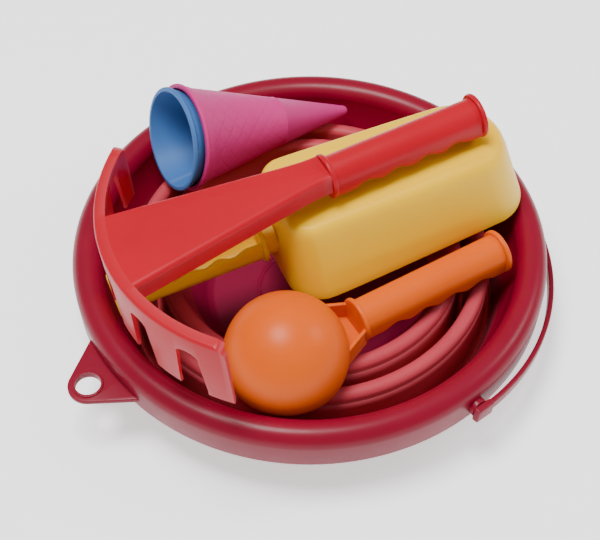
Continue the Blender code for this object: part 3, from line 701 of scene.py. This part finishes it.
SCOOP_GRIP_LENGTH = 0.0950
SCOOP_GRIP_HEIGHT = 0.0180
BLADE_PITCH = radians(-1.6)
BLADE_LENGTH = 0.1562
BLADE_HEIGHT = 0.0460
BLADE_TIP_SHARE = 0.85
BLADE_RISE = -0.0042
BLADE_WALL = 0.0024
BLADE_LEVELS = (
    # share of the height, rear and nose half-widths, rear and front insets, corner radius
    (0.0, 0.0450, 0.0325, 0.0, 0.0, 0.022),
    (0.50, 0.0388, 0.0320, 0.0028, 0.0055, 0.019),
    (0.80, 0.0358, 0.0316, 0.0042, 0.0085, 0.017),
    (0.91, 0.0342, 0.0306, 0.0052, 0.0105, 0.0155),
    (0.975, 0.0322, 0.0288, 0.0070, 0.0135, 0.0135),
    (1.0, 0.0292, 0.0260, 0.0098, 0.0172, 0.0110),
    (1.0, 0.0230, 0.0200, 0.0160, 0.0240, 0.0080),
    (1.0, 0.0120, 0.0105, 0.0300, 0.0400, 0.0050),
)


def blade_outline(rear_half, nose_half, rear, front, corner):
    """One level of the blade: rounded corners at the rear and a round tip."""
    near = arc((rear + corner, -rear_half + corner), corner, pi, 1.5 * pi, 6)
    tip_length = nose_half * BLADE_TIP_SHARE
    tip = [
        (front - tip_length + tip_length * cos(angle), nose_half * sin(angle))
        for angle in (-pi / 2 + pi * i / 14 for i in range(15))
    ]
    return near + tip + [(x, -y) for x, y in reversed(near)]


def make_scoop(material):
    """A deep round-nosed blade lying upside down, with its handle on the rear wall."""
    rows = []
    for share, rear_half, nose_half, rear, inset, corner in BLADE_LEVELS:
        outline = blade_outline(rear_half, nose_half, rear, BLADE_LENGTH - inset, corner)
        lows = [BLADE_RISE * x / BLADE_LENGTH for x, _ in outline]
        rows.append([(x, y, low + (BLADE_HEIGHT - low) * share) for (x, y), low in zip(outline, lows)])
    blade = mesh_of_rows("blade", rows, loop_points=True)
    work = bmesh.new()
    work.from_mesh(blade.data)
    top = [e for e in work.edges if e.is_boundary and min(v.co.z for v in e.verts) > BLADE_HEIGHT - 0.0001]
    bmesh.ops.contextual_create(work, geom=top)
    bmesh.ops.recalc_face_normals(work, faces=work.faces)
    work.to_mesh(blade.data)
    work.free()
    smooth = {"levels": 2, "render_levels": 2, "boundary_smooth": "PRESERVE_CORNERS"}
    blade = applied(modified(blade, "SUBSURF", **smooth))
    blade = applied(modified(blade, "SOLIDIFY", thickness=BLADE_WALL, offset=-1.0, use_even_offset=True))
    blade = edges_rounded(blade, 0.0007, 3)
    moved(blade, Matrix.Translation((0.0, 0.0, -SCOOP_GRIP_HEIGHT)), Matrix.Rotation(-BLADE_PITCH, 4, "Y"))
    grip = make_grip("scoop_grip", SCOOP_GRIP_LENGTH - 0.004)
    moved(grip, Matrix.Translation((-SCOOP_GRIP_LENGTH, 0.0, 0.0)), Matrix.Rotation(pi, 4, "X"))
    root = rod("scoop_root", GRIP_RADIUS - 0.001, -0.006, 0.0030, edge=0.0)
    scoop = moved(joined("scoop_body", blade, grip, root), placed(SCOOP_FRAME))
    dress(scoop, material, "scoop", "yellow_plastic", "scoop", sharp=45.0)


BALL_RADIUS = 0.0350
BALL_CUT = 0.0108
BALL_WALL = 0.0022
BALL_COLLAR = 0.0476
BALL_END = 0.1436


def make_ball_scoop(material):
    """A round bowl lying mouth down, on a handle with an open neck between two struts."""
    inner = BALL_RADIUS - BALL_WALL
    outer = arc((0.0, 0.0), BALL_RADIUS, pi / 2, -asin(BALL_CUT / BALL_RADIUS), 48)
    under = arc((0.0, 0.0), inner, -asin(BALL_CUT / inner), pi / 2, 36)
    mouth = soft_corners([outer[-2], outer[-1], under[0], under[1]], 0.0007, 3)[1:-1]
    profile = [(0.0, BALL_RADIUS)] + outer[1:-1] + mouth + under[1:-1] + [(0.0, inner)]
    ball = lathe("bowl", profile, 96)
    face = BALL_COLLAR - FLANGE_THICKNESS
    additions = []
    for sign in (1, -1):
        strut = [(0.0285, 0.0190), (face + 0.001, 0.0112), (face + 0.001, 0.0090), (0.0295, 0.0160)]
        piece = slab("strut", [(x, sign * y) for x, y in strut][::sign], 0.0140, 0.0006)
        additions.append(moved(piece, Matrix.Translation((0.0, 0.0, -0.0030))))
    floor = [(0.0300, -0.0160), (face + 0.001, -0.0100), (face + 0.001, 0.0100), (0.0300, 0.0160)]
    floor = slab("neck_floor", floor, 0.0024, 0.0004)
    additions.append(moved(floor, Matrix.Translation((0.0, 0.0, -0.0086))))
    ball = cut(ball, *additions, operation="UNION")
    room = arc((0.0, 0.0), inner - 0.0001, -pi / 2, pi / 2, 40)[1:-1]
    ball = cut(ball, lathe("hollow", [(0.0, -inner)] + room + [(0.0, inner - 0.0001)], 96))
    grip = make_grip("ball_grip", BALL_END - face)
    moved(grip, Matrix.Translation((BALL_END, 0.0, 0.0)), Matrix.Rotation(pi, 4, "Z"))
    scoop = moved(joined("ball_scoop_body", ball, grip), placed(BALL_FRAME))
    dress(scoop, material, "ball_scoop", "orange_plastic", "ball_scoop", sharp=40.0)


CONE_HALF_ANGLE = radians(13.7)
CONE_TIP_RADIUS = 0.0030
CONE_WALL = 0.0016
CONE_STEPS = 112
CONE_BAND = 0.0066  # from the mouth back to where the band starts
CONE_LIP = 0.0034  # from the mouth back to the lip
CONE_BAND_PROUD = 0.0006
CONE_LINE_PROUD = 0.0003


def make_cone(name, material, mouth, mouth_radius, body, slot, cad, lines=()):
    """A thin cone along +X with a band and a rounded lip round its mouth, and raised lines further down."""
    slope = tan(CONE_HALF_ANGLE)
    tip = mouth - (mouth_radius - CONE_TIP_RADIUS) / slope
    band = mouth - CONE_BAND
    shift = CONE_WALL / cos(CONE_HALF_ANGLE)

    def outer(x):
        return mouth_radius - (mouth - x) * slope

    profile = [(0.0, tip - 0.0020), (CONE_TIP_RADIUS * 0.55, tip - 0.0016)]
    profile += [(CONE_TIP_RADIUS * 0.9, tip - 0.0006), (outer(tip + 0.001), tip + 0.001)]
    for line in sorted(lines):
        profile += [(outer(line), line), (outer(line + 0.0004) + CONE_LINE_PROUD, line + 0.0004)]
        profile += [(outer(line + 0.0012), line + 0.0012)]
    profile += [(outer(band - 0.0006), band - 0.0006), (outer(band) + CONE_BAND_PROUD, band)]
    lip = mouth - CONE_LIP
    profile += [(outer(lip) + CONE_BAND_PROUD, lip)]
    profile += [
        (outer(mouth) + 0.0014 - 0.0010 + 0.0010 * cos(a), mouth - 0.0012 + 0.0012 * sin(a))
        for a in (-pi / 2 + pi * k / 10 for k in range(11))
    ]
    profile += [(outer(mouth) - shift + 0.0006, mouth), (outer(mouth) - shift, mouth - 0.0008)]
    hollow_tip = tip + (shift - CONE_TIP_RADIUS + 0.0010) / slope
    profile += [(0.0010, hollow_tip), (0.0, hollow_tip - 0.0006)]
    cone = lathe(name, profile, CONE_STEPS, axis="X")
    turn = cone.data.uv_layers.new(name="turn")
    for polygon in cone.data.polygons:
        middle = polygon.center
        base = turn_share(middle.y, middle.z)
        for index in polygon.loop_indices:
            point = cone.data.vertices[cone.data.loops[index].vertex_index].co
            value = turn_share(point.y, point.z)
            value += round(base - value)
            turn.data[index].uv = (value, point.x)
    moved(cone, placed(CONE_FRAME))
    dress(cone, material, body, slot, cad, sharp=50.0)


def turn_share(y, z):
    """The angle of a point about +X as a share of a full turn."""
    distance = sqrt(y * y + z * z)
    if distance < 1e-7:
        return 0.0
    angle = acos(max(-1.0, min(1.0, y / distance)))
    return (angle if z >= 0 else 2 * pi - angle) / (2 * pi)


# ---------------------------------------------------------------- studio

FLOOR_HALF_SIZE = 6.0
FLOOR_GLOW = 0.9
SKY_STRENGTH = 0.42
LAMPS = (
    # place, size, power
    ((-0.30, -0.05, 1.70), 0.7, 37.0),
    ((1.3, 0.3, 1.1), 0.5, 8.0),
)
LAMP_AIM = (0.0, 0.0, 0.05)
CAMERA_ELEVATION = radians(51.0)
CAMERA_DISTANCE = 0.850
CAMERA_LENS_MM = 85.98
CAMERA_SHIFT = (-0.0163, -0.0392)


def make_studio():
    """A plain pale floor under a white sky, with one big soft lamp overhead and a weak one beside."""
    floor_mesh = bpy.data.meshes.new("studio_floor")
    work = bmesh.new()
    bmesh.ops.create_grid(work, x_segments=1, y_segments=1, size=FLOOR_HALF_SIZE)
    work.to_mesh(floor_mesh)
    work.free()
    floor = new_object("studio_floor", floor_mesh)
    floor.location.z = -0.0002
    pale = bpy.data.materials.new("studio_floor")
    pale.use_nodes = True
    shader = pale.node_tree.nodes["Principled BSDF"]
    shader.inputs["Base Color"].default_value = (0.93, 0.93, 0.93, 1.0)
    shader.inputs["Roughness"].default_value = 0.75
    shader.inputs["Emission Color"].default_value = (1.0, 1.0, 1.0, 1.0)
    shader.inputs["Emission Strength"].default_value = FLOOR_GLOW
    floor.data.materials.append(pale)
    world = bpy.data.worlds.new("studio")
    bpy.context.scene.world = world
    world.use_nodes = True
    sky = world.node_tree.nodes["Background"]
    sky.inputs["Color"].default_value = (1.0, 1.0, 1.0, 1.0)
    sky.inputs["Strength"].default_value = SKY_STRENGTH
    for place, size, power in LAMPS:
        light = bpy.data.lights.new("softbox", "AREA")
        light.shape = "DISK"
        light.size = size
        light.energy = power
        lamp = bpy.data.objects.new("softbox", light)
        bpy.context.scene.collection.objects.link(lamp)
        lamp.location = place
        lamp.rotation_euler = (Vector(LAMP_AIM) - Vector(place)).to_track_quat("-Z", "Y").to_euler()


def make_camera():
    """Looks down at 51 degrees from in front of the bucket, 0.85 m from the middle of the rim."""
    data = bpy.data.cameras.new("camera")
    data.sensor_width = 36.0
    data.lens = CAMERA_LENS_MM
    data.shift_x, data.shift_y = CAMERA_SHIFT
    camera = bpy.data.objects.new("camera", data)
    bpy.context.scene.collection.objects.link(camera)
    back, up = CAMERA_DISTANCE * cos(CAMERA_ELEVATION), CAMERA_DISTANCE * sin(CAMERA_ELEVATION)
    camera.location = (0.0, -back, ROLL_HEIGHT + up)
    camera.rotation_euler = (pi / 2 - CAMERA_ELEVATION, 0.0, 0.0)
    bpy.context.scene.camera = camera


rim_plastic = plastic("rim_plastic", (0.225, 0.0025, 0.020), (0.195, 0.0020, 0.017), 0.34, coat=0.06)
base_plastic = plastic("base_plastic", (0.220, 0.004, 0.036), (0.190, 0.0032, 0.030), 0.40)
soft_plastic = plastic("soft_plastic", (0.480, 0.048, 0.070), (0.430, 0.040, 0.060), 0.46, scatter=0.12)
red_plastic = plastic("red_plastic", (0.455, 0.0025, 0.0150), (0.415, 0.0020, 0.0130), 0.33, scatter=0.04)
yellow_plastic = plastic(
    "yellow_plastic", (0.960, 0.545, 0.0040), (0.940, 0.500, 0.0035), 0.36, scatter=0.20
)
orange_plastic = plastic(
    "orange_plastic", (0.730, 0.108, 0.0012), (0.690, 0.095, 0.0010), 0.36, scatter=0.10
)
pink_plastic = plastic("pink_plastic", (0.560, 0.030, 0.200), (0.520, 0.025, 0.180), 0.50, scatter=0.08)
blue_plastic = plastic("blue_plastic", (0.048, 0.150, 0.400), (0.042, 0.132, 0.360), 0.50, scatter=0.08)
add_waffle(pink_plastic, *WAFFLE_SPAN)

make_base(base_plastic)
make_soft_walls(soft_plastic)
make_rim(rim_plastic)
make_bail(rim_plastic)
make_rake(red_plastic)
make_scoop(yellow_plastic)
make_ball_scoop(orange_plastic)
make_cone(
    "pink_cone_mould",
    pink_plastic,
    0.1150,
    0.0311,
    "pink_cone",
    "pink_plastic",
    "pink_cone",
    lines=(0.050,),
)
make_cone("blue_cone_mould", blue_plastic, 0.1222, 0.0300, "blue_cone", "blue_plastic", "blue_cone")
make_studio()
make_camera()
